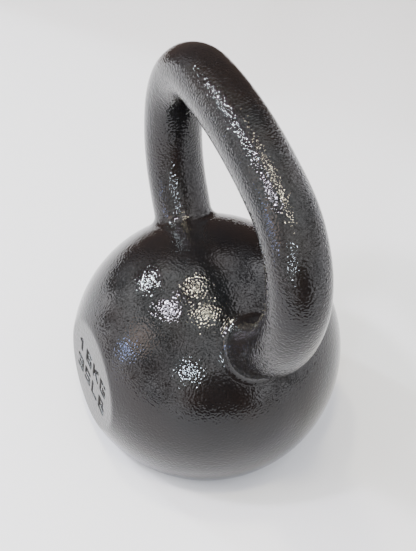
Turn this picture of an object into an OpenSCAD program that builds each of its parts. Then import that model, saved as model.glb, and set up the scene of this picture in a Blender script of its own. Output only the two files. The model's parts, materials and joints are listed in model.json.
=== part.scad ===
// Cast-iron kettlebell: a ball with a flat base and two flat faces, and a bent
// bar of round section as its handle. The handle's ends meet the ball square to
// its surface, each inside a small concave root. Everything but the ground base
// is covered in a thin baked enamel, which has its own nodes.
//
// Millimetres, +Z up. The origin is the centre of the base, on the ground.
// The handle lies in the XZ plane, and the marked flat faces -Y.

/* [Ball] */
// Diameter of the ball over the enamel
ball_d = 160; // [140:0.5:200]
// Height of the ball's centre above the ground
ball_z = 49; // [46:0.5:60]
// Distance from the ball's centre to the front and back flats
flat_y = 72.8; // [68:0.1:76]

/* [Handle] */
// Diameter of the handle over the enamel
handle_d = 34; // [28:0.5:38]
// Height of the grip's centre line above the ball's centre
grip_z = 171.5; // [160:0.5:180]
// Radius of the slow curve along the top of the grip
crown_r = 214; // [150:1:400]
// Half of the angle that the grip's slow curve covers
crown_a = 13; // [8:0.5:16]
// Radius of the bend from the grip into the horn
corner_r = 44.5; // [38:0.5:55]
// Angle from straight up at which the bend eases into the horn's own curve
corner_a = 91; // [80:1:100]
// Radius of the horn's own curve
horn_r = 78; // [70:0.5:90]
// Radius of the concave root where the horn meets the ball
root_r = 6; // [4:0.5:10]

/* [Enamel] */
// Thickness of the enamel
enamel_t = 0.4; // [0.2:0.1:0.8]

/* [Mark] */
// Upper line of the weight mark
mark_top = "16KG"; // [16KG, 35LB]
// Lower line of the weight mark
mark_low = "35LB"; // [16KG, 35LB]
// Height of a character
char_h = 10.5; // [6:0.5:11]
// Width of a character
char_w = 8.8; // [5:0.1:9]
// Distance from one character to the next
char_pitch = 11.4; // [9:0.1:12]
// Distance from one line to the next
line_pitch = 15.5; // [12:0.5:18]
// Width of a stroke
stroke_w = 2.4; // [1.5:0.1:2.5]
// Depth of the mark below the enamel's surface
mark_depth = 1.4; // [0.8:0.1:2]

/* [Hidden] */
$fn = 96;

iron_colour = [0.36, 0.36, 0.37];
enamel_colour = [0.08, 0.08, 0.085];

ball_r = ball_d / 2;
handle_r = handle_d / 2;
ball_iron_r = ball_r - enamel_t;
handle_iron_r = handle_r - enamel_t;

// Centres of the handle's curves in its own plane, x across and y up from the
// ball's centre, for the side with positive x.
crown_c = [0, grip_z - crown_r];
corner_c = crown_c + (crown_r - corner_r) * [sin(crown_a), cos(crown_a)];
horn_c = corner_c + (corner_r - horn_r) * [sin(corner_a), cos(corner_a)];

// The straight end of each horn points at the ball's centre, so that it meets the
// ball square. It is the line through the ball's centre that is tangent to the
// horn's curve, and leg_a is its angle from straight up.
horn_dist = norm(horn_c);
leg_a = atan2(horn_c[0], horn_c[1]) + asin(horn_r / horn_dist);
// Angle from straight up at which the horn's curve ends
horn_a = 90 + leg_a;
// How far from the ball's centre the horn's curve ends
leg_len = sqrt(horn_dist * horn_dist - horn_r * horn_r);

// The root's concave circle touches the handle and the ball. Its centre is given
// as the distance from the leg's axis and the distance along it.
root_across = handle_r + root_r;
root_along = sqrt(pow(ball_r + root_r, 2) - root_across * root_across);
root_a = atan2(root_across, root_along);
// How far short of its two feather edges the iron of the root stops
root_trim = 1.5;
trim_a = asin(root_trim / (ball_r + root_r));

// How far a cutter passes through what it cuts
over = 2;

// Where two stretches of the bar meet: the hairline between them, and the length
// and inset of the plug that joins them
hairline = 0.02;
plug_len = 2;
plug_inset = 0.1;

// One bend of the handle, in the handle's plane. Angles are from straight up. Each
// end stops half a hairline short, so that no bend's surface runs into the next.
module bend(centre, curve_r, from_a, to_a, section_r) {
    short_a = hairline / 2 / curve_r * 180 / PI;
    translate(centre)
        rotate(90 - to_a + short_a)
            rotate_extrude(angle = to_a - from_a - 2 * short_a)
                translate([curve_r, 0])
                    circle(section_r);
}

// Joins a bend to what follows it: a short plug across the hairline, just inside
// both surfaces
module plug(centre, curve_r, at_a, section_r)
    translate(centre)
        rotate(90 - at_a)
            translate([curve_r, 0])
                rotate([90, 0, 0])
                    cylinder(h = plug_len, r = section_r - plug_inset, center = true);

// Half of the handle, without the crown. The leg stops inner mm from the ball's
// centre.
module half_bar(section_r, inner) {
    plug(corner_c, corner_r, crown_a, section_r);
    bend(corner_c, corner_r, crown_a, corner_a, section_r);
    plug(horn_c, horn_r, corner_a, section_r);
    bend(horn_c, horn_r, corner_a, horn_a, section_r);
    plug(horn_c, horn_r, horn_a, section_r);
    rotate(-leg_a)
        translate([0, inner])
            rotate([-90, 0, 0])
                cylinder(h = leg_len - hairline / 2 - inner, r = section_r);
}

// The whole bar, in its plane
module bar(section_r, inner) {
    bend(crown_c, crown_r, -crown_a, crown_a, section_r);
    half_bar(section_r, inner);
    mirror([1, 0]) half_bar(section_r, inner);
}

// Stands a shape that is drawn in the handle's plane upright over the ball
module upright()
    translate([0, 0, ball_z])
        rotate([90, 0, 0])
            children();

// Turns a shape from the Z axis onto a leg's axis. side is -1 for left and 1 for
// right.
module on_leg(side)
    translate([0, 0, ball_z])
        rotate([0, side * leg_a, 0])
            children();

// A ball with its base and its front and back flats. base_z is the height of the
// cut that makes the base.
module flatted_ball(r, flat, base_z) {
    cut = 3 * r;
    difference() {
        translate([0, 0, ball_z]) sphere(r);
        translate([-cut / 2, -cut / 2, base_z - cut]) cube(cut);
        translate([-cut / 2, -flat - cut, ball_z - cut / 2]) cube(cut);
        translate([-cut / 2, flat, ball_z - cut / 2]) cube(cut);
    }
}

// Centre lines of each character's strokes, on a square one unit wide and high
function strokes(c) =
    c == "1" ? [[[0.15, 0.75], [0.5, 1]], [[0.5, 0], [0.5, 1]]] :
    c == "3" ? [[[0, 1], [1, 1]], [[0.3, 0.5], [1, 0.5]], [[0, 0], [1, 0]], [[1, 0], [1, 1]]] :
    c == "5" ? [[[0, 1], [1, 1]], [[0, 0.5], [0, 1]], [[0, 0.5], [1, 0.5]], [[1, 0], [1, 0.5]],
                [[0, 0], [1, 0]]] :
    c == "6" ? [[[0, 1], [1, 1]], [[0, 0], [0, 1]], [[0, 0], [1, 0]], [[1, 0], [1, 0.5]],
                [[0, 0.5], [1, 0.5]]] :
    c == "K" ? [[[0, 0], [0, 1]], [[0, 0.4], [1, 1]], [[0.35, 0.6], [1, 0]]] :
    c == "G" ? [[[0, 1], [1, 1]], [[0, 0], [0, 1]], [[0, 0], [1, 0]], [[1, 0], [1, 0.45]],
                [[0.6, 0.45], [1, 0.45]]] :
    c == "L" ? [[[0, 0], [0, 1]], [[0, 0], [1, 0]]] :
    c == "B" ? [[[0, 0], [0, 1]], [[0, 1], [0.85, 1]], [[0, 0.5], [1, 0.5]], [[0, 0], [1, 0]],
                [[0.85, 0.5], [0.85, 1]], [[1, 0], [1, 0.5]]] :
    [];

// A bar from one point to another, with square ends that reach half its width past
module stroke(from, to, width) {
    run = to - from;
    translate(from)
        rotate(atan2(run[1], run[0]))
            translate([-width / 2, -width / 2])
                square([norm(run) + width, width]);
}

// One character, centred on the origin. grow is added to each side of a stroke.
module character(c, grow) {
    size = [char_w - stroke_w, char_h - stroke_w];
    for (s = strokes(c)) {
        from = [(s[0][0] - 0.5) * size[0], (s[0][1] - 0.5) * size[1]];
        to = [(s[1][0] - 0.5) * size[0], (s[1][1] - 0.5) * size[1]];
        stroke(from, to, stroke_w + 2 * grow);
    }
}

// A line of characters, centred on the origin
module mark_line(words, grow)
    for (i = [0 : len(words) - 1])
        translate([(i - (len(words) - 1) / 2) * char_pitch, 0])
            character(words[i], grow);

// The solid that cuts the mark into the front flat. grow makes it wider and deeper
// on every side, to leave room for the enamel that lines the mark.
module mark_cutter(grow)
    translate([0, -flat_y + mark_depth + grow, ball_z])
        rotate([90, 0, 0])
            linear_extrude(mark_depth + grow + over) {
                translate([0, line_pitch / 2]) mark_line(mark_top, grow);
                translate([0, -line_pitch / 2]) mark_line(mark_low, grow);
            }

// The ball's casting, with its base cut at base_z
module ball_casting(base_z)
    difference() {
        flatted_ball(ball_iron_r, flat_y - enamel_t, base_z);
        mark_cutter(enamel_t);
    }

module ball() color(iron_colour) ball_casting(0);

module ball_enamel()
    color(enamel_colour)
        difference() {
            flatted_ball(ball_r, flat_y, 0);
            mark_cutter(0);
            ball_casting(-over);
            for (side = [-1, 1])
                on_leg(side)
                    cylinder(h = ball_r + over, r1 = 0, r2 = (ball_r + over) * tan(root_a));
        }

module handle()
    color(iron_colour)
        difference() {
            upright() bar(handle_iron_r, ball_iron_r - 2 * over);
            translate([0, 0, ball_z]) sphere(ball_iron_r);
        }

module handle_enamel()
    color(enamel_colour)
        difference() {
            upright() bar(handle_r, root_along);
            upright() bar(handle_iron_r, root_along - over);
        }

// The iron of one root, between the bar, the ball and the concave circle
module root_iron(side) {
    low = sqrt(ball_iron_r * ball_iron_r - handle_iron_r * handle_iron_r) - over;
    high = root_along - root_trim;
    edge_a = root_a - trim_a;
    color(iron_colour)
        on_leg(side)
            rotate_extrude()
                difference() {
                    polygon([[handle_iron_r, low],
                             (ball_iron_r - over) * [sin(edge_a), cos(edge_a)],
                             [high * tan(edge_a), high],
                             [handle_iron_r, high]]);
                    circle(ball_iron_r, $fn = 256);
                    translate([root_across, root_along]) circle(root_r + enamel_t);
                }
}

// The enamel over one root: a ring between two circles on one centre, from the
// side of the handle round to the surface of the ball
module root_enamel(side) {
    reach = 2 * root_r;
    color(enamel_colour)
        on_leg(side)
            rotate_extrude()
                translate([root_across, root_along])
                    intersection() {
                        difference() {
                            circle(root_r + enamel_t);
                            circle(root_r);
                        }
                        polygon([[0, 0], [-reach, 0], [-reach, -reach],
                                 -reach * [sin(root_a), cos(root_a)]]);
                    }
}

module left_root() root_iron(-1);
module left_root_enamel() root_enamel(-1);
module right_root() root_iron(1);
module right_root_enamel() root_enamel(1);

ball();
ball_enamel();
handle();
handle_enamel();
left_root();
left_root_enamel();
right_root();
right_root_enamel();
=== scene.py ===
"""Looks of a cast-iron kettlebell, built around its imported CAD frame.

Laid out as a Blender add-on and run as a script. Every length is in metres, in the
frame of the CAD model: +Z up, the base on z = 0, the handle in the XZ plane and the
marked flat facing -Y.
"""

import json
import math

import bmesh
import bpy
import numpy as np
from mathutils import Matrix, Vector, noise

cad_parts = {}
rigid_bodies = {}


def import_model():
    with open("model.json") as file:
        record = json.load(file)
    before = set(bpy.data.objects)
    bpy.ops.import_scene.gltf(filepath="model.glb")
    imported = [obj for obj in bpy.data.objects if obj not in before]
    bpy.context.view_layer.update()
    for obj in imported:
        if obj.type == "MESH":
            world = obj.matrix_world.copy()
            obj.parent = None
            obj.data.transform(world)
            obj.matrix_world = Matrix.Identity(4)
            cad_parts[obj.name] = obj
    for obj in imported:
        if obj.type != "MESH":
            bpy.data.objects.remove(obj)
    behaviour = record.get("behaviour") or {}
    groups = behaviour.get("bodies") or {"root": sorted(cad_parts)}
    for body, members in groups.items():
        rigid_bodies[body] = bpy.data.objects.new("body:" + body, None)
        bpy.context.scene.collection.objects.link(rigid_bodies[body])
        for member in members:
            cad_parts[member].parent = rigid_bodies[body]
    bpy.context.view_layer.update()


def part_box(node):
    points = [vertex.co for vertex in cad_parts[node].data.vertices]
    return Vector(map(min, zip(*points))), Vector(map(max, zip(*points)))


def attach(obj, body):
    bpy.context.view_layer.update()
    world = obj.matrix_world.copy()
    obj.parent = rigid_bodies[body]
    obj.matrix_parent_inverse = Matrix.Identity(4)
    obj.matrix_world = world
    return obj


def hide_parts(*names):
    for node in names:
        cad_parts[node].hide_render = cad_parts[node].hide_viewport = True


bl_info = {
    "name": "Cast-iron kettlebell",
    "version": (1, 0, 0),
    "blender": (4, 5, 0),
    "location": "3D View > Sidebar > Kettlebell",
    "description": "Builds an enamelled cast-iron kettlebell around its CAD frame",
    "category": "Object",
}

for leftover in list(bpy.data.objects):
    bpy.data.objects.remove(leftover)
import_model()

MM = 0.001
BODY = "root"
# The mesh attribute that is 1 down in the mark and 0 elsewhere
RECESS = "recess"


def tenth(length):
    """A length to the nearest 0.1 mm, because the facets of a packed curve fall a few microns short."""
    return round(length, 4)


# The outer sizes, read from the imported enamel
BALL_LOW, BALL_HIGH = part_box("ball_enamel")
HANDLE_LOW, HANDLE_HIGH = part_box("handle_enamel")
BALL_R = tenth((BALL_HIGH.x - BALL_LOW.x) / 2)
BALL_Z = tenth(BALL_HIGH.z) - BALL_R
FLAT_Y = tenth(BALL_HIGH.y)
HANDLE_R = tenth(HANDLE_HIGH.y)
GRIP_Z = tenth(HANDLE_HIGH.z) - HANDLE_R - BALL_Z
CENTRE = Vector((0, 0, BALL_Z))

# ---------------------------------------------------------------------------
# Settings
# ---------------------------------------------------------------------------


def length_setting(name, description, default, low, high):
    """A length, and the limits that a user can drag it between, given here in millimetres."""
    return bpy.props.FloatProperty(
        name=name,
        description=description,
        default=default * MM,
        min=low * MM,
        max=high * MM,
        subtype="DISTANCE",
        unit="LENGTH",
    )


def angle_setting(name, description, default):
    """An angle, given here in degrees and stored in radians."""
    return bpy.props.FloatProperty(
        name=name,
        description=description,
        default=math.radians(default),
        subtype="ANGLE",
        unit="ROTATION",
    )


def text_setting(name, description, default):
    """A line of text, such as a colour as sRGB hex."""
    return bpy.props.StringProperty(name=name, description=description, default=default)


class KettlebellBallSettings(bpy.types.PropertyGroup):
    """Sizes of the ball that the CAD boxes don't give."""

    flat_edge: length_setting("Flat edge", "Radius of the soft edge round each flat", 8, 1, 20)
    base_edge: length_setting("Base edge", "Radius of the soft edge round the base", 3, 1, 10)
    mesh_step: length_setting("Mesh step", "Size of the ball's faces", 1.35, 0.8, 5)
    mark_top: text_setting("Upper line", "Upper line of the weight mark", "16KG")
    mark_low: text_setting("Lower line", "Lower line of the weight mark", "35LB")
    char_height: length_setting("Character height", "Height of a character", 10.5, 4, 12)
    char_width: length_setting("Character width", "Width of a character", 8.8, 3, 9)
    char_pitch: length_setting("Character pitch", "From one character to the next", 11.4, 5, 12)
    line_pitch: length_setting("Line pitch", "From one line to the next", 15.5, 8, 20)
    stroke: length_setting("Stroke", "Width of a stroke", 2.4, 1, 3)
    mark_depth: length_setting("Mark depth", "Depth of the mark", 1.4, 0.4, 2)


class KettlebellHandleSettings(bpy.types.PropertyGroup):
    """The bends of the bar, as in the CAD model."""

    crown_radius: length_setting("Crown radius", "Slow curve along the grip", 214, 150, 400)
    crown_angle: angle_setting("Crown angle", "Half of the angle that the grip covers", 13)
    corner_radius: length_setting("Corner radius", "Bend from the grip into the horn", 44.5, 38, 55)
    corner_angle: angle_setting("Corner angle", "Where the bend eases, from straight up", 91)
    horn_radius: length_setting("Horn radius", "The horn's own curve", 78, 70, 90)
    ring_step: length_setting("Ring step", "From one ring of the mesh to the next", 1.0, 0.5, 5)
    sides: bpy.props.IntProperty(
        name="Sides",
        description="Faces round the bar",
        default=104,
        min=12,
        max=160,
    )


class KettlebellRootSettings(bpy.types.PropertyGroup):
    """The concave iron between the horns and the ball."""

    radius: length_setting("Root radius", "Radius of the concave root", 6, 4, 10)
    sides: bpy.props.IntProperty(
        name="Sides",
        description="Faces round each root",
        default=136,
        min=24,
        max=240,
    )


class KettlebellFinishSettings(bpy.types.PropertyGroup):
    """The enamel and the unevenness of the casting under it."""

    enamel_colour: text_setting("Enamel", "Colour of the enamel", "#0b0b0c")
    enamel_cast: text_setting("Brown cast", "Colour of the enamel's warmer patches", "#100d0c")
    peel_size: length_setting("Peel size", "From one bump of the orange peel to the next", 1.7, 0.5, 6)
    peel_height: length_setting("Peel height", "Height of the bumps on the ball", 0.155, 0, 0.5)
    grip_coarseness: bpy.props.FloatProperty(
        name="Grip coarseness",
        description="Height of the bumps on the handle, against those on the ball",
        default=1.8,
        min=0,
        max=5,
    )
    wave_size: length_setting("Wave size", "From one wave of the casting to the next", 17, 5, 60)
    wave_height: length_setting("Wave height", "Height of the waves", 0.22, 0, 1)


class KettlebellStageSettings(bpy.types.PropertyGroup):
    """Camera, floor and card."""

    view_azimuth: angle_setting("View azimuth", "Turn of the camera about Z, from -Y", 60.4)
    view_elevation: angle_setting("View elevation", "Height of the camera above the horizon", 46.84)
    view_roll: angle_setting("View roll", "Tilt of the camera about its own axis", 9.37)
    view_distance: length_setting("View distance", "From the camera to its target", 848.8, 300, 3000)
    lens: bpy.props.FloatProperty(
        name="Lens",
        description="Focal length on a 36 mm sensor",
        default=92.7,
        min=20,
        max=200,
        subtype="DISTANCE_CAMERA",
    )
    floor_radius: length_setting("Floor radius", "Radius of the table top", 620, 500, 3000)
    floor_colour: text_setting("Floor colour", "Colour of the table top", "#c6c6c8")
    card_azimuth: angle_setting("Card azimuth", "Where the dark card stands, from -Y", -108)
    card_distance: length_setting("Card distance", "From the axis to the dark card", 470, 200, 2000)
    card_width: length_setting("Card width", "Width of the dark card", 620, 100, 2000)
    card_height: length_setting("Card height", "Height of the dark card", 420, 100, 2000)
    card_colour: text_setting("Card colour", "Colour of the dark card", "#3a2c24")


# ---------------------------------------------------------------------------
# Shared shapes
# ---------------------------------------------------------------------------


# The casting's shorter waves: their size and their share of the height, against the long ones
SHORT_WAVE = 0.37
SHORT_SHARE = 0.2


def cast_wave(point, finish):
    """How far the cast surface lies below its design at a point: long waves, and shorter ones on them."""
    long_wave = noise.noise(point / finish.wave_size)
    short_wave = noise.noise(point / (finish.wave_size * SHORT_WAVE) + Vector((7, 3, 5)))
    height = 0.5 + 0.5 * ((1 - SHORT_SHARE) * long_wave + SHORT_SHARE * short_wave)
    # The base is ground flat, so the waves die out over the last few millimetres
    above_base = min(max((point.z - 2 * MM) / (8 * MM), 0), 1)
    # The two flats come from flat faces of the mould, and are much smoother
    off_flat = min(max((FLAT_Y - abs(point.y)) / (4 * MM), 0.12), 1)
    return finish.wave_height * height * above_base * off_flat


def rough_cast(mesh, finish):
    """Lowers each vertex of a finished mesh by the casting's unevenness, along its normal."""
    normals = [vertex.normal.copy() for vertex in mesh.vertices]
    for vertex, normal in zip(mesh.vertices, normals):
        vertex.co -= normal * cast_wave(vertex.co, finish)


def finished_piece(name, mesh, material, nodes):
    """Makes a piece of a mesh, smooth and in its material, that rides on the body and replaces CAD nodes."""
    mesh.polygons.foreach_set("use_smooth", [True] * len(mesh.polygons))
    mesh.materials.clear()
    mesh.materials.append(material)
    mesh.update()
    piece = bpy.data.objects.new(name, mesh)
    bpy.context.scene.collection.objects.link(piece)
    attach(piece, BODY)
    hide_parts(*nodes)
    return piece


def closed_mesh(name, build):
    """A mesh from a function that fills a bmesh, with doubles merged and faces outwards."""
    bm = bmesh.new()
    build(bm)
    bmesh.ops.remove_doubles(bm, verts=bm.verts, dist=0.002 * MM)
    bmesh.ops.recalc_face_normals(bm, faces=bm.faces)
    loose = [edge for edge in bm.edges if not edge.is_manifold]
    if loose:
        raise RuntimeError(f"{name} isn't closed: {len(loose)} edges have one face or more than two")
    mesh = bpy.data.meshes.new(name)
    bm.to_mesh(mesh)
    bm.free()
    return mesh


def skin(bm, rows, wrap_rows=False):
    """Faces between rows of vertices, each row a closed ring of the same number."""
    pairs = list(zip(rows, rows[1:]))
    if wrap_rows:
        pairs.append((rows[-1], rows[0]))
    for low, high in pairs:
        for i in range(len(low)):
            j = (i + 1) % len(low)
            bm.faces.new((low[i], low[j], high[j], high[i]))


# ---------------------------------------------------------------------------
# The handle's centre line
# ---------------------------------------------------------------------------


class Bar:
    """The handle's centre line in its own plane, x across and y up from the ball's centre."""

    def __init__(self, handle):
        crown_y = GRIP_Z - handle.crown_radius
        off = handle.crown_radius - handle.corner_radius
        self.crown = (0, crown_y, handle.crown_radius)
        corner_x = off * math.sin(handle.crown_angle)
        corner_y = crown_y + off * math.cos(handle.crown_angle)
        self.corner = (corner_x, corner_y, handle.corner_radius)
        ease = handle.corner_radius - handle.horn_radius
        horn_x = corner_x + ease * math.sin(handle.corner_angle)
        horn_y = corner_y + ease * math.cos(handle.corner_angle)
        self.horn = (horn_x, horn_y, handle.horn_radius)
        # The straight leg is the tangent to the horn's curve through the ball's centre
        distance = math.hypot(horn_x, horn_y)
        self.leg_angle = math.atan2(horn_x, horn_y) + math.asin(handle.horn_radius / distance)
        self.leg_length = math.sqrt(distance**2 - handle.horn_radius**2)
        self.angles = (0, handle.crown_angle, handle.corner_angle, math.pi / 2 + self.leg_angle)
        reach = corner_x + handle.corner_radius + HANDLE_R
        if abs(reach - HANDLE_HIGH.x) > 0.2 * MM:
            raise RuntimeError("the handle's bends don't give the width that the CAD model has")

    def half(self, step, inner):
        """Points from the top of the grip to inner metres from the ball's centre."""
        points = []
        for curve, start, end in zip((self.crown, self.corner, self.horn), self.angles, self.angles[1:]):
            x, y, radius = curve
            count = max(2, round((end - start) * radius / step))
            for i in range(count):
                turn = start + (end - start) * i / count
                points.append((x + radius * math.sin(turn), y + radius * math.cos(turn)))
        count = max(2, round((self.leg_length - inner) / step))
        for i in range(count + 1):
            out = self.leg_length + (inner - self.leg_length) * i / count
            points.append((out * math.sin(self.leg_angle), out * math.cos(self.leg_angle)))
        return points

    def route(self, step, inner):
        """The whole centre line in 3D, from inside the ball on the left to inside it on the right."""
        right = self.half(step, inner)
        left = [(-x, y) for x, y in reversed(right[1:])]
        return [CENTRE + Vector((x, 0, y)) for x, y in left + right]


# ---------------------------------------------------------------------------
# The ball
# ---------------------------------------------------------------------------


class SoftFlat:
    """A plane that cuts the ball, with a rounded edge. Angles are from the plane's axis."""

    def __init__(self, distance, edge):
        self.distance = distance
        self.edge = edge
        # Centre of the edge's circle: that far inside both the plane and the sphere
        self.along = distance - edge
        self.across = math.sqrt((BALL_R - edge) ** 2 - self.along**2)
        self.plane_angle = math.atan2(self.across, distance)
        self.ball_angle = math.atan2(self.across, self.along)

    def reach(self, angle):
        """Distance from the ball's centre to its surface."""
        if angle >= self.ball_angle:
            return BALL_R
        if angle <= self.plane_angle:
            return self.distance / math.cos(angle)
        ahead = self.along * math.cos(angle) + self.across * math.sin(angle)
        centre_square = self.along**2 + self.across**2
        return ahead + math.sqrt(ahead**2 - centre_square + self.edge**2)


# Centre lines of each character's strokes, on a square one unit wide and high
STROKES = {
    "1": [((0.15, 0.75), (0.5, 1)), ((0.5, 0), (0.5, 1))],
    "3": [((0, 1), (1, 1)), ((0.3, 0.5), (1, 0.5)), ((0, 0), (1, 0)), ((1, 0), (1, 1))],
    "5": [((0, 1), (1, 1)), ((0, 0.5), (0, 1)), ((0, 0.5), (1, 0.5)), ((1, 0), (1, 0.5)), ((0, 0), (1, 0))],
    "6": [((0, 1), (1, 1)), ((0, 0), (0, 1)), ((0, 0), (1, 0)), ((1, 0), (1, 0.5)), ((0, 0.5), (1, 0.5))],
    "K": [((0, 0), (0, 1)), ((0, 0.4), (1, 1)), ((0.35, 0.6), (1, 0))],
    "G": [
        ((0, 1), (1, 1)),
        ((0, 0), (0, 1)),
        ((0, 0), (1, 0)),
        ((1, 0), (1, 0.45)),
        ((0.6, 0.45), (1, 0.45)),
    ],
    "L": [((0, 0), (0, 1)), ((0, 0), (1, 0))],
    "B": [
        ((0, 0), (0, 1)),
        ((0, 1), (0.85, 1)),
        ((0, 0.5), (1, 0.5)),
        ((0, 0), (1, 0)),
        ((0.85, 0.5), (0.85, 1)),
        ((1, 0), (1, 0.5)),
    ],
}


def mark_strokes(ball):
    """Every stroke of the weight mark, as the two ends of its centre line on the flat."""
    width = ball.char_width - ball.stroke
    height = ball.char_height - ball.stroke
    found = []
    for words, middle in ((ball.mark_top, ball.line_pitch / 2), (ball.mark_low, -ball.line_pitch / 2)):
        for place, character in enumerate(words):
            left = (place - (len(words) - 1) / 2) * ball.char_pitch - width / 2
            low = middle - height / 2
            for ends in STROKES[character]:
                found.append([(left + x * width, low + y * height) for x, y in ends])
    return np.array(found)


def stroke_distance(points, strokes):
    """Distance from each point to the nearest centre line of a stroke."""
    nearest = np.full(len(points), np.inf)
    for start, end in strokes:
        run = end - start
        along = np.clip(((points - start) @ run) / (run @ run), 0, 1)
        nearest = np.minimum(nearest, np.linalg.norm(points - start - along[:, None] * run, axis=1))
    return nearest


# Size of a cell of the mark's grid, and the flat metal left round the outermost strokes
MARK_CELL = 0.2 * MM
MARK_MARGIN = 2.1 * MM
# The wall of a stroke falls over this width, because the enamel rounds it
MARK_WALL = 0.45 * MM


def mark_grid(bm, ball, ring, recess):
    """Fills the front flat: a fine grid with the mark pressed into it, and a plain border out to ring.

    recess is the layer that takes how far down in the mark each vertex is, from 0 to 1.
    """
    half_x = (len(ball.mark_top) - 1) / 2 * ball.char_pitch + ball.char_width / 2 + MARK_MARGIN
    half_z = (ball.line_pitch + ball.char_height) / 2 + MARK_MARGIN
    count_x = round(2 * half_x / MARK_CELL)
    count_z = round(2 * half_z / MARK_CELL)
    xs = np.linspace(-half_x, half_x, count_x + 1)
    zs = np.linspace(-half_z, half_z, count_z + 1)
    points = np.array([(x, z) for x in xs for z in zs])
    inside = stroke_distance(points, mark_strokes(ball))
    sunk = np.clip((ball.stroke / 2 + MARK_WALL / 2 - inside) / MARK_WALL, 0, 1)
    depth = ball.mark_depth * sunk * sunk * (3 - 2 * sunk)
    verts = [bm.verts.new((x, -FLAT_Y + d, BALL_Z + z)) for (x, z), d in zip(points, depth)]
    for vertex, share in zip(verts, sunk):
        vertex[recess] = share
    grid = [verts[i * (count_z + 1) : (i + 1) * (count_z + 1)] for i in range(count_x + 1)]
    for i in range(count_x):
        for j in range(count_z):
            bm.faces.new((grid[i][j], grid[i + 1][j], grid[i + 1][j + 1], grid[i][j + 1]))
    own = set(verts)
    border = [edge for edge in bm.edges if edge.is_boundary and own.issuperset(edge.verts)]
    around = [bm.edges.get((ring[i], ring[(i + 1) % len(ring)])) for i in range(len(ring))]
    bmesh.ops.triangle_fill(bm, use_beauty=True, edges=border + around)


# Rings over the soft edge of a flat, and the width of the rings that fill the back flat
SOFT_EDGE_RINGS = 7
BACK_RING = 2.5 * MM


def ball_rows(bm, ball):
    """Rings of the ball about the Y axis, from the edge of the front flat to the edge of the back one."""
    flat = SoftFlat(FLAT_Y, ball.flat_edge)
    base = SoftFlat(BALL_Z, ball.base_edge)
    sides = round(2 * math.pi * BALL_R / ball.mesh_step)
    soft = np.linspace(flat.plane_angle, flat.ball_angle, SOFT_EDGE_RINGS)
    steps = round((math.pi - 2 * flat.ball_angle) * BALL_R / ball.mesh_step)
    body = np.linspace(flat.ball_angle, math.pi - flat.ball_angle, steps + 1)
    angles = [*soft[:-1], *body, *(math.pi - soft[:-1])[::-1]]
    rows = []
    for angle in angles:
        row = []
        for i in range(sides):
            turn = 2 * math.pi * i / sides
            across = math.sin(angle)
            out = Vector((across * math.cos(turn), -math.cos(angle), across * math.sin(turn)))
            from_flat = min(angle, math.pi - angle)
            from_base = math.acos(max(-1, min(1, -out.z)))
            reach = min(flat.reach(from_flat), base.reach(from_base))
            row.append(bm.verts.new(CENTRE + out * reach))
        rows.append(row)
    return rows


def back_disc(bm, ring):
    """Fills the back flat with rings that close on a point."""
    radius = math.hypot(ring[0].co.x, ring[0].co.z - BALL_Z)
    rings = round(radius / BACK_RING)
    rows = [ring]
    for k in range(rings - 1, 0, -1):
        share = k / rings
        row = []
        for vertex in ring:
            middle = Vector((0, vertex.co.y, BALL_Z))
            row.append(bm.verts.new(middle + (vertex.co - middle) * share))
        rows.append(row)
    skin(bm, rows)
    centre = bm.verts.new((0, ring[0].co.y, BALL_Z))
    last = rows[-1]
    for i in range(len(last)):
        bm.faces.new((last[i], last[(i + 1) % len(last)], centre))


def build_ball(settings):
    """The enamelled ball, with its mark, flats and base."""

    def fill(bm):
        recess = bm.verts.layers.float.new(RECESS)
        rows = ball_rows(bm, settings.ball)
        skin(bm, rows)
        mark_grid(bm, settings.ball, rows[0], recess)
        back_disc(bm, rows[-1])

    mesh = closed_mesh("kettlebell_ball", fill)
    rough_cast(mesh, settings.finish)
    material = black_enamel(settings.finish, "black_baked_enamel", 1.0)
    return finished_piece("kettlebell_ball", mesh, material, ["ball", "ball_enamel"])


# ---------------------------------------------------------------------------
# The handle
# ---------------------------------------------------------------------------


def bar_tree():
    """Geometry Nodes that sweep a round bar along the curve they are given."""
    tree = bpy.data.node_groups.new("bar_along_route", "GeometryNodeTree")
    socket = tree.interface.new_socket
    socket("Route", in_out="INPUT", socket_type="NodeSocketGeometry")
    socket("Section radius", in_out="INPUT", socket_type="NodeSocketFloat")
    socket("Sides", in_out="INPUT", socket_type="NodeSocketInt")
    socket("Ring step", in_out="INPUT", socket_type="NodeSocketFloat")
    socket("Finish", in_out="INPUT", socket_type="NodeSocketMaterial")
    socket("Bar", in_out="OUTPUT", socket_type="NodeSocketGeometry")
    given = tree.nodes.new("NodeGroupInput").outputs
    result = tree.nodes.new("NodeGroupOutput").inputs
    even = add_node(
        tree,
        "GeometryNodeResampleCurve",
        {"mode": "LENGTH"},
        Curve=given["Route"],
        Length=given["Ring step"],
    )
    section = add_node(
        tree,
        "GeometryNodeCurvePrimitiveCircle",
        {},
        Resolution=given["Sides"],
        Radius=given["Section radius"],
    )
    swept = add_node(
        tree,
        "GeometryNodeCurveToMesh",
        {},
        Curve=even.outputs["Curve"],
        Profile_Curve=section.outputs["Curve"],
        Fill_Caps=True,
    )
    real = add_node(tree, "GeometryNodeRealizeInstances", {}, Geometry=swept.outputs["Mesh"])
    painted = add_node(
        tree,
        "GeometryNodeSetMaterial",
        {},
        Geometry=real.outputs["Geometry"],
        Material=given["Finish"],
    )
    tree.links.new(painted.outputs["Geometry"], result["Bar"])
    return tree


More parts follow.
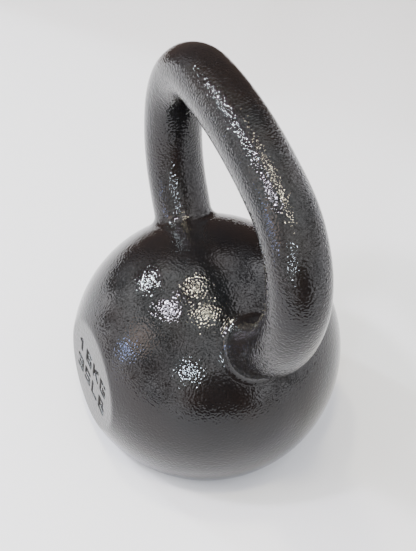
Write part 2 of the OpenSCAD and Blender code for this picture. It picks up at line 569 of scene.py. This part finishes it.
def swept_mesh(name, points, inputs):
    """The mesh that bar_tree makes along points, with the tree's named inputs set first."""
    curve = bpy.data.curves.new(name + "_route", "CURVE")
    curve.dimensions = "3D"
    spline = curve.splines.new("POLY")
    spline.points.add(len(points) - 1)
    for target, point in zip(spline.points, points):
        target.co = (*point, 1)
    route = bpy.data.objects.new(name + "_route", curve)
    bpy.context.scene.collection.objects.link(route)
    tree = bar_tree()
    sweep = route.modifiers.new("Bar", "NODES")
    sweep.node_group = tree
    for item in tree.interface.items_tree:
        if item.in_out == "INPUT" and item.name in inputs:
            sweep[item.identifier] = inputs[item.name]
    bpy.context.view_layer.update()
    graph = bpy.context.evaluated_depsgraph_get()
    mesh = bpy.data.meshes.new_from_object(route.evaluated_get(graph))
    mesh.name = name
    route.modifiers.clear()
    bpy.data.objects.remove(route)
    bpy.data.curves.remove(curve)
    bpy.data.node_groups.remove(tree)
    return mesh


# How far each end of the bar runs on inside the ball
HIDDEN_END = 9 * MM


def build_handle(settings):
    """The enamelled bar. Each end runs on into the ball, where it doesn't show."""
    handle = settings.handle
    route = Bar(handle).route(handle.ring_step / 4, BALL_R - HIDDEN_END)
    material = black_enamel(settings.finish, "black_grip_enamel", settings.finish.grip_coarseness)
    inputs = {
        "Section radius": HANDLE_R,
        "Sides": handle.sides,
        "Ring step": handle.ring_step,
        "Finish": material,
    }
    mesh = swept_mesh("kettlebell_handle", route, inputs)
    rough_cast(mesh, settings.finish)
    return finished_piece("kettlebell_handle", mesh, material, ["handle", "handle_enamel"])


# ---------------------------------------------------------------------------
# The roots
# ---------------------------------------------------------------------------


# Faces from the bar round to the ball
ROOT_STEPS = 16


def root_outline(radius):
    """A closed outline of one root: distance from the leg's axis, and along it from the ball's centre."""
    across = HANDLE_R + radius
    along = math.sqrt((BALL_R + radius) ** 2 - across**2)
    end = math.atan2(across, along)
    # How deep the root dips below the surfaces that it meets, and how far it runs on past each contact
    tuck = 0.02 * MM
    run_on = 0.5 * MM
    buried = 1.5 * MM
    points = [(HANDLE_R - buried, along + 2 * run_on), (HANDLE_R - tuck, along + run_on)]
    for i in range(ROOT_STEPS + 1):
        # From the contact with the bar round to the contact with the ball
        turn = math.radians(-90) - (math.radians(90) - end) * i / ROOT_STEPS
        points.append((across + radius * math.sin(turn), along + radius * math.cos(turn)))
    for out, past in ((BALL_R - tuck, run_on), (BALL_R - buried, 2 * run_on)):
        turn = end + past / BALL_R
        points.append((out * math.sin(turn), out * math.cos(turn)))
    deep = BALL_R - buried
    points.append((HANDLE_R - buried, math.sqrt(deep**2 - (HANDLE_R - buried) ** 2)))
    return points


def build_root(settings, name, side):
    """One enamelled root, turned about its leg's axis. side is -1 for left and 1 for right."""
    outline = root_outline(settings.root.radius)
    leg = Bar(settings.handle).leg_angle
    onto_leg = Matrix.Translation(CENTRE) @ Matrix.Rotation(side * leg, 4, "Y")
    sides = settings.root.sides

    def fill(bm):
        rows = []
        for across, along in outline:
            row = []
            for i in range(sides):
                turn = 2 * math.pi * i / sides
                point = Vector((across * math.cos(turn), across * math.sin(turn), along))
                row.append(bm.verts.new(onto_leg @ point))
            rows.append(row)
        skin(bm, rows, wrap_rows=True)

    mesh = closed_mesh("kettlebell_" + name, fill)
    rough_cast(mesh, settings.finish)
    material = black_enamel(settings.finish, "black_baked_enamel", 1.0)
    return finished_piece("kettlebell_" + name, mesh, material, [name, name + "_enamel"])


# ---------------------------------------------------------------------------
# Materials
# ---------------------------------------------------------------------------


def linear(hex_colour):
    """A colour given as sRGB hex, as the linear numbers and full alpha that the nodes take."""
    channels = [int(hex_colour[i : i + 2], 16) / 255 for i in (1, 3, 5)]
    return (*[c / 12.92 if c <= 0.04045 else ((c + 0.055) / 1.055) ** 2.4 for c in channels], 1.0)


def add_node(tree, kind, settings, in_order=(), **inputs):
    """Adds a node with its settings, and its inputs set to values or linked to sockets.

    in_order gives inputs by place, with None for one to leave alone. In the name of an input,
    an underscore stands for a space.
    """
    node = tree.nodes.new(kind)
    for name, value in settings.items():
        setattr(node, name, value)
    given = [(node.inputs[place], value) for place, value in enumerate(in_order) if value is not None]
    given += [(node.inputs[name.replace("_", " ")], value) for name, value in inputs.items()]
    for socket, value in given:
        if isinstance(value, bpy.types.NodeSocket):
            tree.links.new(value, socket)
        else:
            socket.default_value = value
    return node


def peel_bump(tree, place, finish, coarseness):
    """The normal of the orange peel: smooth bumps, a finer ripple on them, and wider soft pits."""
    peel = add_node(
        tree,
        "ShaderNodeTexNoise",
        {},
        Vector=place,
        Scale=1 / (finish.peel_size * 0.72),
        Detail=0.0,
    )
    ripple = add_node(
        tree,
        "ShaderNodeTexNoise",
        {},
        Vector=place,
        Scale=1 / (finish.peel_size * 0.45),
        Detail=0.0,
    )
    pits = add_node(tree, "ShaderNodeTexVoronoi", {}, Vector=place, Scale=1 / (finish.peel_size * 1.3))
    walls = add_node(
        tree,
        "ShaderNodeMapRange",
        {"interpolation_type": "SMOOTHSTEP"},
        Value=pits.outputs["Distance"],
        From_Min=0.06,
        From_Max=0.36,
    )
    # Each step adds its share of the next pattern to what came before
    rippled = add_node(
        tree,
        "ShaderNodeMath",
        {"operation": "MULTIPLY_ADD"},
        (ripple.outputs["Fac"], 0.25, peel.outputs["Fac"]),
    )
    pitted = add_node(
        tree,
        "ShaderNodeMath",
        {"operation": "MULTIPLY_ADD"},
        (walls.outputs["Result"], 0.12, rippled.outputs["Value"]),
    )
    bump = add_node(
        tree,
        "ShaderNodeBump",
        {},
        Height=pitted.outputs["Value"],
        Distance=finish.peel_height * coarseness,
        Strength=1.0,
    )
    return bump.outputs["Normal"]


def bare_share(tree, place):
    """Where wear has chipped the enamel off, from 0 to 1: specks some 2 mm across, close to the floor."""
    rise = add_node(tree, "ShaderNodeSeparateXYZ", {}, Vector=place)
    edge = add_node(
        tree,
        "ShaderNodeMapRange",
        {},
        Value=rise.outputs["Z"],
        From_Min=0.0,
        From_Max=4 * MM,
        To_Min=0.16,
        To_Max=-0.2,
    )
    specks = add_node(tree, "ShaderNodeTexNoise", {}, Vector=place, Scale=1 / (2.2 * MM), Detail=2.0)
    likely = add_node(
        tree,
        "ShaderNodeMath",
        {"operation": "ADD"},
        (specks.outputs["Fac"], edge.outputs["Result"]),
    )
    chips = add_node(
        tree,
        "ShaderNodeMapRange",
        {},
        Value=likely.outputs["Value"],
        From_Min=0.68,
        From_Max=0.70,
    )
    return chips.outputs["Result"]


def black_enamel(finish, name, coarseness):
    """Baked black enamel over cast iron: a deep, hard gloss that the orange peel breaks into glints."""
    if name in bpy.data.materials:
        return bpy.data.materials[name]
    material = bpy.data.materials.new(name)
    material.use_nodes = True
    tree = material.node_tree
    tree.nodes.clear()
    place = add_node(tree, "ShaderNodeTexCoord", {}).outputs["Object"]

    # Colour: near black, with a faint brown cast in patches some 30 mm across
    patches = add_node(tree, "ShaderNodeTexNoise", {}, Vector=place, Scale=1 / (30 * MM), Detail=3.0)
    colour = add_node(tree, "ShaderNodeValToRGB", {}, Fac=patches.outputs["Fac"])
    colour.color_ramp.elements[0].position = 0.35
    colour.color_ramp.elements[0].color = linear(finish.enamel_colour)
    colour.color_ramp.elements[1].position = 0.65
    colour.color_ramp.elements[1].color = linear(finish.enamel_cast)

    # Roughness: a hard gloss, a little duller in streaks where hands and cloths have rubbed it
    rubbed = add_node(tree, "ShaderNodeTexNoise", {}, Vector=place, Scale=1 / (12 * MM), Detail=4.0)
    gloss = add_node(
        tree,
        "ShaderNodeMapRange",
        {},
        Value=rubbed.outputs["Fac"],
        From_Min=0.3,
        From_Max=0.7,
        To_Min=0.04,
        To_Max=0.11,
    )
    # Dust and thick enamel leave the bottom of the mark much duller
    recess = add_node(tree, "ShaderNodeAttribute", {"attribute_name": RECESS})
    roughness = add_node(
        tree,
        "ShaderNodeMath",
        {"operation": "MULTIPLY_ADD"},
        (recess.outputs["Fac"], 0.5, gloss.outputs["Result"]),
    )

    # The specular level is low so that the bright table doesn't wash the black out
    enamel = add_node(
        tree,
        "ShaderNodeBsdfPrincipled",
        {},
        Base_Color=colour.outputs["Color"],
        Roughness=roughness.outputs["Value"],
        Normal=peel_bump(tree, place, finish, coarseness),
        IOR=1.5,
        Specular_IOR_Level=0.3,
    )
    # The grey cast iron that shows in a chip: metal, and dull from the sand of the mould
    iron = add_node(
        tree,
        "ShaderNodeBsdfPrincipled",
        {},
        Base_Color=linear("#77736f"),
        Metallic=1.0,
        Roughness=0.45,
    )
    surface = add_node(
        tree,
        "ShaderNodeMixShader",
        {},
        (bare_share(tree, place), enamel.outputs["BSDF"], iron.outputs["BSDF"]),
    )
    output = add_node(tree, "ShaderNodeOutputMaterial", {})
    tree.links.new(surface.outputs["Shader"], output.inputs["Surface"])
    return material


def plain_matt(name, colour, roughness):
    """One even finish for a sheet of the stage."""
    material = bpy.data.materials.new(name)
    material.use_nodes = True
    shader = material.node_tree.nodes["Principled BSDF"]
    shader.inputs["Base Color"].default_value = linear(colour)
    shader.inputs["Roughness"].default_value = roughness
    return material


# ---------------------------------------------------------------------------
# Stage
# ---------------------------------------------------------------------------


def direction(azimuth, elevation):
    """A unit vector towards an azimuth, which is 0 at -Y and 90 at +X, and an elevation, in radians."""
    flat = math.cos(elevation)
    return Vector((math.sin(azimuth) * flat, -math.cos(azimuth) * flat, math.sin(elevation)))


# What the camera looks at, in the CAD frame
TARGET = Vector((-29.3, 9.8, 77.5)) * MM


def place_camera(stage):
    """The camera, looking down at the ball's right shoulder with a slight roll."""
    back = direction(stage.view_azimuth, stage.view_elevation)
    level = back.cross(Vector((0, 0, 1))).normalized() * -1
    up = back.cross(level)
    right = level * math.cos(stage.view_roll) + up * math.sin(stage.view_roll)
    up = back.cross(right)
    data = bpy.data.cameras.new("camera")
    data.sensor_width = 36
    data.lens = stage.lens
    data.clip_start = 0.05
    camera = bpy.data.objects.new("camera", data)
    turn = Matrix((right, up, back)).transposed().to_4x4()
    camera.matrix_world = Matrix.Translation(TARGET + back * stage.view_distance) @ turn
    bpy.context.scene.collection.objects.link(camera)
    bpy.context.scene.camera = camera


# Each lamp: name, azimuth and elevation in degrees, distance and diameter in metres, watts and colour
LAMPS = [
    ("lamp_front_left", -52, 35, 2.2, 0.14, 34, "#e8f8ff"),
    ("lamp_left_high", -55, 72, 2.2, 0.19, 24, "#fff7da"),
    ("lamp_front", -13, 53, 1.2, 0.11, 13, "#f2ecff"),
    ("lamp_right_high", 40, 75, 2.2, 0.19, 26, "#fff6d6"),
    ("lamp_right", 49, 26, 2.2, 0.14, 22, "#def0ff"),
    ("lamp_low_blue", -7, 8, 2.2, 0.2, 7, "#a8bcff"),
    ("lamp_low_warm", -5, 23, 2.2, 0.80, 5, "#ffdcc8"),
]
TABLE_WASH = ("lamp_table_wash", -15, 42, 0.85, 0.5, 8, "#ffffff")


def place_lamp(middle, row):
    """A soft round lamp that faces middle, from a row of the table above."""
    name, azimuth, elevation, distance, diameter, power, colour = row
    data = bpy.data.lights.new(name, "AREA")
    data.shape = "DISK"
    data.size = diameter
    data.energy = power
    data.color = linear(colour)[:3]
    lamp = bpy.data.objects.new(name, data)
    out = direction(math.radians(azimuth), math.radians(elevation))
    facing = out.to_track_quat("Z", "Y").to_matrix().to_4x4()
    lamp.matrix_world = Matrix.Translation(middle + out * distance) @ facing
    bpy.context.scene.collection.objects.link(lamp)
    return lamp


def place_lamps():
    """Soft lamps for the ball's highlights, and a wash over the near table that the enamel doesn't mirror."""
    for row in LAMPS:
        place_lamp(CENTRE, row)
    wash = place_lamp(Vector((0, 0, 0)), TABLE_WASH)
    wash.visible_glossy = False


# Dim stretches of the room: azimuth and elevation in degrees, half-width in degrees and colour
ROOM_SHADOWS = [
    (-105, 10, 52, "#50423a"),
    (78, 3, 33, "#64544c"),
]


def place_room():
    """The room: a pale backdrop to look at, and uneven walls with dim stretches for the enamel to mirror."""
    world = bpy.data.worlds.new("room")
    bpy.context.scene.world = world
    world.use_nodes = True
    tree = world.node_tree
    tree.nodes.clear()
    toward = add_node(tree, "ShaderNodeTexCoord", {}).outputs["Generated"]
    clutter = add_node(tree, "ShaderNodeTexNoise", {}, Vector=toward, Scale=7.0, Detail=2.0)
    walls = add_node(tree, "ShaderNodeValToRGB", {}, Fac=clutter.outputs["Fac"])
    walls.color_ramp.elements[0].position = 0.45
    walls.color_ramp.elements[0].color = linear("#3a3634")
    walls.color_ramp.elements[1].position = 0.55
    walls.color_ramp.elements[1].color = linear("#fbfbff")
    colour = walls.outputs["Color"]
    for azimuth, elevation, half_width, shade in ROOM_SHADOWS:
        middle = direction(math.radians(azimuth), math.radians(elevation))
        facing = add_node(tree, "ShaderNodeVectorMath", {"operation": "DOT_PRODUCT"}, (toward, middle))
        share = add_node(
            tree,
            "ShaderNodeMapRange",
            {"interpolation_type": "SMOOTHSTEP"},
            Value=facing.outputs["Value"],
            From_Min=math.cos(math.radians(half_width)),
            From_Max=math.cos(math.radians(half_width * 0.5)),
        )
        # Inputs 6 and 7 of this node are its two colours
        shaded = add_node(
            tree,
            "ShaderNodeMix",
            {"data_type": "RGBA", "blend_type": "MULTIPLY"},
            (share.outputs["Result"], None, None, None, None, None, colour, linear(shade)),
        )
        colour = shaded.outputs[2]
    mirrored = add_node(tree, "ShaderNodeBackground", {}, Color=colour, Strength=4.6)
    looked_at = add_node(tree, "ShaderNodeBackground", {}, Color=linear("#f2f2f4"), Strength=2.35)
    mixed = add_node(
        tree,
        "ShaderNodeMixShader",
        {},
        (
            add_node(tree, "ShaderNodeLightPath", {}).outputs["Is Camera Ray"],
            mirrored.outputs["Background"],
            looked_at.outputs["Background"],
        ),
    )
    output = add_node(tree, "ShaderNodeOutputWorld", {})
    tree.links.new(mixed.outputs["Shader"], output.inputs["Surface"])


def stage_sheet(name, corners, material):
    """A flat sheet of the stage with the given corners."""
    mesh = bpy.data.meshes.new(name)
    mesh.from_pydata(corners, [], [range(len(corners))])
    mesh.materials.append(material)
    sheet = bpy.data.objects.new(name, mesh)
    bpy.context.scene.collection.objects.link(sheet)
    return sheet


FLOOR_SIDES = 128


def place_floor(stage):
    """A round pale table top, and a dark card behind it that only the enamel and the light meet."""
    turns = [math.tau * step / FLOOR_SIDES for step in range(FLOOR_SIDES)]
    rim = [(stage.floor_radius * math.cos(turn), stage.floor_radius * math.sin(turn), 0) for turn in turns]
    # Matt white laminate: bright enough to mirror in the enamel
    stage_sheet("floor", rim, plain_matt("white_laminate", stage.floor_colour, 0.55))

    foot = direction(stage.card_azimuth, 0) * stage.card_distance
    side = foot.cross(Vector((0, 0, 1))).normalized() * stage.card_width / 2
    rise = Vector((0, 0, stage.card_height))
    corners = [foot - side, foot + side, foot + side + rise, foot - side + rise]
    # Matt brown card: a soft dark band along the back of the enamel
    card = stage_sheet("dark_card", corners, plain_matt("brown_card", stage.card_colour, 0.8))
    card.visible_camera = False


# ---------------------------------------------------------------------------
# Operators and panel
# ---------------------------------------------------------------------------


class KETTLEBELL_OT_ball(bpy.types.Operator):
    """Build the ball with its mark, flats and base"""

    bl_idname = "kettlebell.ball"
    bl_label = "Ball"

    def execute(self, context):
        build_ball(context.scene.kettlebell)
        return {"FINISHED"}


class KETTLEBELL_OT_handle(bpy.types.Operator):
    """Build the handle along its bends"""

    bl_idname = "kettlebell.handle"
    bl_label = "Handle"

    def execute(self, context):
        build_handle(context.scene.kettlebell)
        return {"FINISHED"}


class KETTLEBELL_OT_roots(bpy.types.Operator):
    """Build the roots where the horns meet the ball"""

    bl_idname = "kettlebell.roots"
    bl_label = "Roots"

    def execute(self, context):
        for name, side in (("left_root", -1), ("right_root", 1)):
            build_root(context.scene.kettlebell, name, side)
        return {"FINISHED"}


class KETTLEBELL_OT_stage(bpy.types.Operator):
    """Place the camera, floor, lamps and room"""

    bl_idname = "kettlebell.stage"
    bl_label = "Stage"

    def execute(self, context):
        stage = context.scene.kettlebell.stage
        place_camera(stage)
        place_lamps()
        place_room()
        place_floor(stage)
        return {"FINISHED"}


class KettlebellSettings(bpy.types.PropertyGroup):
    """Everything that a user can change."""

    ball: bpy.props.PointerProperty(type=KettlebellBallSettings, name="Ball", description="The ball")
    handle: bpy.props.PointerProperty(type=KettlebellHandleSettings, name="Handle", description="The handle")
    root: bpy.props.PointerProperty(type=KettlebellRootSettings, name="Roots", description="The roots")
    finish: bpy.props.PointerProperty(type=KettlebellFinishSettings, name="Finish", description="The enamel")
    stage: bpy.props.PointerProperty(type=KettlebellStageSettings, name="Stage", description="The stage")


class VIEW3D_PT_kettlebell(bpy.types.Panel):
    """The sidebar panel."""

    bl_idname = "VIEW3D_PT_kettlebell"
    bl_label = "Kettlebell"
    bl_space_type = "VIEW_3D"
    bl_region_type = "UI"
    bl_category = "Kettlebell"

    def draw(self, context):
        settings = context.scene.kettlebell
        for operator, groups in (
            (KETTLEBELL_OT_ball, (settings.ball, settings.finish)),
            (KETTLEBELL_OT_handle, (settings.handle,)),
            (KETTLEBELL_OT_roots, (settings.root,)),
            (KETTLEBELL_OT_stage, (settings.stage,)),
        ):
            box = self.layout.box()
            for group in groups:
                for name in group.__annotations__:
                    box.prop(group, name)
            box.operator(operator.bl_idname)


CLASSES = (
    KettlebellBallSettings,
    KettlebellHandleSettings,
    KettlebellRootSettings,
    KettlebellFinishSettings,
    KettlebellStageSettings,
    KettlebellSettings,
    KETTLEBELL_OT_ball,
    KETTLEBELL_OT_handle,
    KETTLEBELL_OT_roots,
    KETTLEBELL_OT_stage,
    VIEW3D_PT_kettlebell,
)


def register():
    for cls in CLASSES:
        bpy.utils.register_class(cls)
    bpy.types.Scene.kettlebell = bpy.props.PointerProperty(type=KettlebellSettings)


def unregister():
    del bpy.types.Scene.kettlebell
    for cls in reversed(CLASSES):
        bpy.utils.unregister_class(cls)


def main():
    register()
    bpy.ops.kettlebell.stage()
    bpy.ops.kettlebell.ball()
    bpy.ops.kettlebell.handle()
    bpy.ops.kettlebell.roots()
    bpy.context.view_layer.update()


if __name__ == "__main__":
    main()
